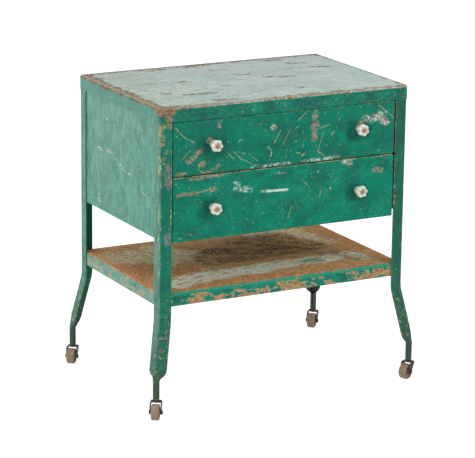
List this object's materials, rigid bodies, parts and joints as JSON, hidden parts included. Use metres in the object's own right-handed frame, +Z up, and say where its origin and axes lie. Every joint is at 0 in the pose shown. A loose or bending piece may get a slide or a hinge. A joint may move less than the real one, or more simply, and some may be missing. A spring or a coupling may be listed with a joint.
{
  "type": "steel drawer cabinet",
  "caption": "Painted sheet steel stand with stacked drawers, an open lower shelf, splayed folded legs and small swivel casters.",
  "frame": {"origin": "on the floor under the middle of the whole stand with its casters as they stand at rest; the middle of the cabinet is 4.6 mm right and 6.4 mm back of it", "axes": "+Z up, the drawers open towards -Y, +X to the right seen from the front"},
  "size_m": [0.6742, 0.4755, 0.676],
  "materials": {
    "green_paint": "worn gloss enamel with scratches and rust",
    "green_paint_inside": "duller green enamel inside the drawers",
    "pale_blue_grey_paint": "worn pale enamel with rust at the edges",
    "rusted_shelf_paint": "green enamel worn through to brown rust",
    "runner_steel": "bare rubbed steel",
    "white_porcelain": "glossy white",
    "rusty_hardware_steel": "rusted steel",
    "dark_caster_steel": "dark rusted steel",
    "composition_wheel": "worn hard composition"
  },
  "bodies": {
    "frame": {"back_left_caster_socket": "dark_caster_steel", "back_left_leg": "green_paint", "back_panel": "green_paint", "back_right_caster_socket": "dark_caster_steel", "back_right_leg": "green_paint", "front_left_caster_socket": "dark_caster_steel", "front_left_leg": "green_paint", "front_right_caster_socket": "dark_caster_steel", "front_right_leg": "green_paint", "left_side_panel": "green_paint", "lower_left_runner": "runner_steel", "lower_right_runner": "runner_steel", "right_side_panel": "green_paint", "shelf": "rusted_shelf_paint", "shelf_rivets": "green_paint", "top_panel": "pale_blue_grey_paint", "upper_left_runner": "runner_steel", "upper_right_runner": "runner_steel"},
    "upper_drawer": {"upper_drawer_front": "green_paint", "upper_drawer_pan": "green_paint_inside", "upper_drawer_left_side": "green_paint_inside", "upper_drawer_right_side": "green_paint_inside", "upper_left_knob": "white_porcelain", "upper_right_knob": "white_porcelain", "upper_knob_ferrules": "rusty_hardware_steel", "upper_knob_bolts": "rusty_hardware_steel", "upper_knob_nuts": "rusty_hardware_steel"},
    "lower_drawer": {"lower_drawer_front": "green_paint", "lower_drawer_pan": "green_paint_inside", "lower_drawer_left_side": "green_paint_inside", "lower_drawer_right_side": "green_paint_inside", "lower_left_knob": "white_porcelain", "lower_right_knob": "white_porcelain", "lower_knob_ferrules": "rusty_hardware_steel", "lower_knob_bolts": "rusty_hardware_steel", "lower_knob_nuts": "rusty_hardware_steel"},
    "front_left_caster": {"front_left_caster_fork": "dark_caster_steel", "front_left_caster_stem": "dark_caster_steel", "front_left_caster_axle": "dark_caster_steel", "front_left_caster_axle_nut": "dark_caster_steel"},
    "front_left_wheel": {"front_left_caster_wheel": "composition_wheel"},
    "front_right_caster": {"front_right_caster_fork": "dark_caster_steel", "front_right_caster_stem": "dark_caster_steel", "front_right_caster_axle": "dark_caster_steel", "front_right_caster_axle_nut": "dark_caster_steel"},
    "front_right_wheel": {"front_right_caster_wheel": "composition_wheel"},
    "back_left_caster": {"back_left_caster_fork": "dark_caster_steel", "back_left_caster_stem": "dark_caster_steel", "back_left_caster_axle": "dark_caster_steel", "back_left_caster_axle_nut": "dark_caster_steel"},
    "back_left_wheel": {"back_left_caster_wheel": "composition_wheel"},
    "back_right_caster": {"back_right_caster_fork": "dark_caster_steel", "back_right_caster_stem": "dark_caster_steel", "back_right_caster_axle": "dark_caster_steel", "back_right_caster_axle_nut": "dark_caster_steel"},
    "back_right_wheel": {"back_right_caster_wheel": "composition_wheel"}
  },
  "joints": [
    {"name": "upper_drawer_slide", "type": "slide", "parent": "frame", "child": "upper_drawer", "axis": [0, -1, 0], "range_m": [0, 0.28]},
    {"name": "lower_drawer_slide", "type": "slide", "parent": "frame", "child": "lower_drawer", "axis": [0, -1, 0], "range_m": [0, 0.28]},
    {"name": "front_left_swivel", "type": "hinge", "parent": "frame", "child": "front_left_caster", "pos_m": [-0.31395, -0.21115, 0.0425], "axis": [0, 0, 1], "continuous": true},
    {"name": "front_left_roll", "type": "hinge", "parent": "front_left_caster", "child": "front_left_wheel", "pos_m": [-0.3194, -0.21954, 0.0175], "axis": [0.8387, -0.5446, 0], "continuous": true},
    {"name": "front_right_swivel", "type": "hinge", "parent": "frame", "child": "front_right_caster", "pos_m": [0.32315, -0.21115, 0.0425], "axis": [0, 0, 1], "continuous": true},
    {"name": "front_right_roll", "type": "hinge", "parent": "front_right_caster", "child": "front_right_wheel", "pos_m": [0.31401, -0.21522, 0.0175], "axis": [0.4067, -0.9135, 0], "continuous": true},
    {"name": "back_left_swivel", "type": "hinge", "parent": "frame", "child": "back_left_caster", "pos_m": [-0.31395, 0.22395, 0.0425], "axis": [0, 0, 1], "continuous": true},
    {"name": "back_left_roll", "type": "hinge", "parent": "back_left_caster", "child": "back_left_wheel", "pos_m": [-0.32038, 0.21629, 0.0175], "axis": [0.766, -0.6428, 0], "continuous": true},
    {"name": "back_right_swivel", "type": "hinge", "parent": "frame", "child": "back_right_caster", "pos_m": [0.32315, 0.22395, 0.0425], "axis": [0, 0, 1], "continuous": true},
    {"name": "back_right_roll", "type": "hinge", "parent": "back_right_caster", "child": "back_right_wheel", "pos_m": [0.3162, 0.21676, 0.0175], "axis": [0.7193, -0.6947, 0], "continuous": true}
  ]
}
